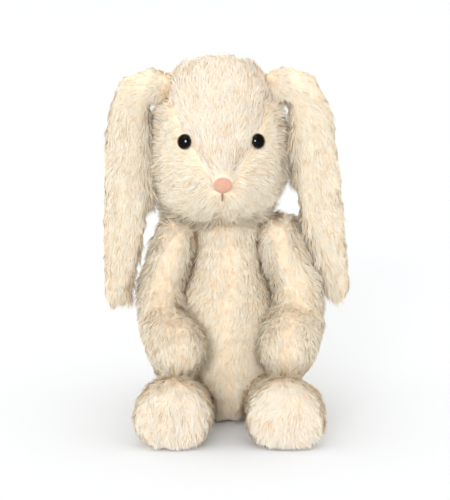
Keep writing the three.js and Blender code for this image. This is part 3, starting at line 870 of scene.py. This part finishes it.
def make_stage():
    """A plain pale floor, large enough that its far edge is never in view."""
    reach = 30.0
    corners = [(-reach, -reach, 0), (reach, -reach, 0), (reach, reach, 0), (-reach, reach, 0)]
    floor = new_object("floor", build_mesh("floor", np.array(corners), [[0, 1, 2, 3]]))
    s = Shader("pale_floor", roughness=0.9, Specular_IOR_Level=0.1)
    seen = s.ramp(s.noise(3.0), (0.0, (0.80, 0.835, 0.89)), (1.0, (0.815, 0.85, 0.905)))
    # painted reflection: to glossy rays the floor is near black, so the eyes reflect darkness in place of the pale
    # floor
    glossy = s.node("LightPath").outputs["Is Glossy Ray"]
    s.color(s.mix(glossy, seen, (0.05, 0.05, 0.05)))
    floor.data.materials.append(s.material)


def make_light():
    """Even studio light: a warm white surround, a large soft key from the front and a faint top."""
    world = bpy.data.worlds.new("studio")
    bpy.context.scene.world = world
    world.use_nodes = True
    nodes, links = world.node_tree.nodes, world.node_tree.links
    background = nodes["Background"]
    background.inputs["Color"].default_value = (1.0, 0.965, 0.91, 1)
    path = nodes.new("ShaderNodeLightPath")
    strength = nodes.new("ShaderNodeMapRange")
    strength.inputs["To Min"].default_value, strength.inputs["To Max"].default_value = 1.18, 0.04
    links.new(path.outputs["Is Glossy Ray"], strength.inputs["Value"])
    links.new(strength.outputs["Result"], background.inputs["Strength"])
    for name, direction, spread, power in (   # spread in degrees
        ("key", (0.25, 1.0, -0.24), 22, 1.2),
        ("top", (0.3, 0.5, -1.0), 50, 0.1),
    ):
        data = bpy.data.lights.new(name, "SUN")
        data.energy, data.angle = power, math.radians(spread)
        lamp = bpy.data.objects.new(name, data)
        bpy.context.scene.collection.objects.link(lamp)
        lamp.rotation_euler = Vector(direction).to_track_quat("-Z", "Y").to_euler()


def make_camera():
    """In front of the toy and a little above it, looking slightly down."""
    off_neck = Vector((-2.1, 0, -18)) * MM
    target = Vector(joint_place("neck_nod")) + off_neck
    distance, elevation, focal_length = 1.3, math.radians(10), 115.2
    camera = bpy.data.objects.new("camera", bpy.data.cameras.new("camera"))
    bpy.context.scene.collection.objects.link(camera)
    camera.location = target + distance * Vector((0, -math.cos(elevation), math.sin(elevation)))
    camera.rotation_euler = (target - camera.location).to_track_quat("-Z", "Y").to_euler()
    camera.data.lens = focal_length
    camera.data.clip_end = 100
    bpy.context.scene.camera = camera


# ---- The rabbit -----------------------------------------------------------------------------


def even(length):
    """The same pile length everywhere."""
    return lambda points: np.full(len(points), length)


def make_head():
    nose, eyes = middle("nose"), [eye_axis(side) for side in SIDES]
    form = soft_form("head_form", (*HEAD, "head_stuffing"), "head", voxel=3.5 * MM)
    head_low, head_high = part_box("head_stuffing")

    def length(points):
        low_side = 1 - smooth_step(head_low[2], head_high[2] * 0.9, points[:, 2])
        return (5.5 + 2.5 * low_side) * MM

    def nap(points, panel):
        out = unit((points - nose) * [1, 0.3, 0.6])
        if panel == "head_gusset":
            return 0.5 * out + [0, 0.5, 0.9]
        if panel == "head_back":
            return 0.4 * out + [0, 0.3, -0.9]
        return 0.9 * out + [0, 0.2, -0.45]

    style = {"length": length, "nap": nap, "fill": 0.85, "fringe": 7 * MM, "parting": 0.1}
    clear = [(front - axis * EYE_DEPTH, axis, EYE_RADIUS * EYE_CLEARING) for front, axis in eyes]
    clear.append((nose, np.array([0.0, -1.0, 0.0]), NOSE_CLEARING))
    cover_panels(form, "head", HEAD, style, 100, clear_of=clear)
    for side in SIDES:
        make_eye(side)
        make_washer(side)
    make_nose()
    make_mouth()
    lumpy("head_stuffing", "head")


def make_torso():
    form = soft_form("torso_form", (*TORSO, "body_stuffing"), "torso")
    neck = joint_place("neck_nod")

    def nap(points, panel):
        out = unit((points - neck) * [1, 1, 0])
        return np.array([0, 0, -1.0]) + 0.35 * out

    style = {"length": even(6.5 * MM), "nap": nap, "fill": 0.7}
    cover_panels(form, "torso", TORSO, style, 200)
    lumpy("body_stuffing", "torso")
    make_pouch()
    tail_nodes = ("tail_cover", "tail_stuffing")
    tail = soft_form("tail_form", tail_nodes, "torso", voxel=2.5 * MM, cap=1 * MM)
    root = middle("tail_cover") - [0, 12 * MM, 0]
    style = {"length": even(11 * MM), "nap": away_from(root, 0.4), "fill": 0.7}
    cover_panels(tail, "torso", ("tail_cover",), style, 300)
    lumpy("tail_stuffing", "torso", voxel=2.5 * MM, depth=0.8 * MM)
    make_label()
    lumpy("neck_stuffing", "neck", voxel=2.5 * MM, depth=0.8 * MM)


def make_ear(side, seed):
    panels = (f"ear_{side}_front", f"ear_{side}_back")
    body = f"ear_{side}"
    form = soft_form(f"{body}_form", panels, body, voxel=3 * MM, cap=0.5 * MM, plump=0.6 * MM)
    root = joint_place(f"ear_{side}_swing")

    def length(points):
        return (6.0 - 2.5 * smooth_step(root[2] - 12 * MM, root[2] + 8 * MM, points[:, 2])) * MM

    style = {"length": length, "nap": away_from(root, 0.6), "fill": 0.3, "fringe": 6 * MM}
    cover_panels(form, body, panels, style, seed)


def make_arm(side, seed):
    panels = (f"arm_{side}_outer", f"arm_{side}_inner")
    body = f"arm_{side}"
    nodes = (*panels, f"arm_{side}_stuffing")
    form = soft_form(f"{body}_form", nodes, body, voxel=3 * MM, cap=1.5 * MM)
    root = joint_place(f"arm_{side}_swing")
    style = {"length": even(6 * MM), "nap": away_from(root, 0.35), "fill": 0.6, "fringe": 2 * MM}
    cover_panels(form, body, panels, style, seed)
    lumpy(f"arm_{side}_stuffing", body, voxel=3 * MM, depth=1 * MM)


def make_leg(side, seed):
    panels = (f"leg_{side}_outer", f"leg_{side}_inner", f"foot_{side}_sole")
    body = f"leg_{side}"
    nodes = (*panels, f"leg_{side}_stuffing")
    form = soft_form(f"{body}_form", nodes, body, voxel=3 * MM, cap=1.5 * MM)
    sole_low, sole_high = (np.array(v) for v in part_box(f"foot_{side}_sole"))
    ankle = np.array([(sole_low[0] + sole_high[0]) / 2, sole_high[1] + 8 * MM, sole_high[2] * 0.95])

    def nap(points, panel):
        on_foot = 1 - smooth_step(sole_high[1], sole_high[1] + 12 * MM, points[:, 1])[:, None]
        along = np.array([0, -1.0, -0.2])
        return on_foot * unit(points - ankle) + (1 - on_foot) * along

    style = {"length": even(6.5 * MM), "nap": nap, "fill": 0.8}
    cover_panels(form, body, panels, style, seed)
    lumpy(f"leg_{side}_stuffing", body, voxel=3 * MM, depth=1 * MM)


make_camera()
make_head()
make_torso()
for number, side in enumerate(SIDES):
    make_ear(side, 400 + 10 * number)
    make_arm(side, 500 + 10 * number)
    make_leg(side, 600 + 10 * number)
make_stage()
make_light()
bpy.context.scene.view_settings.view_transform = "Standard"
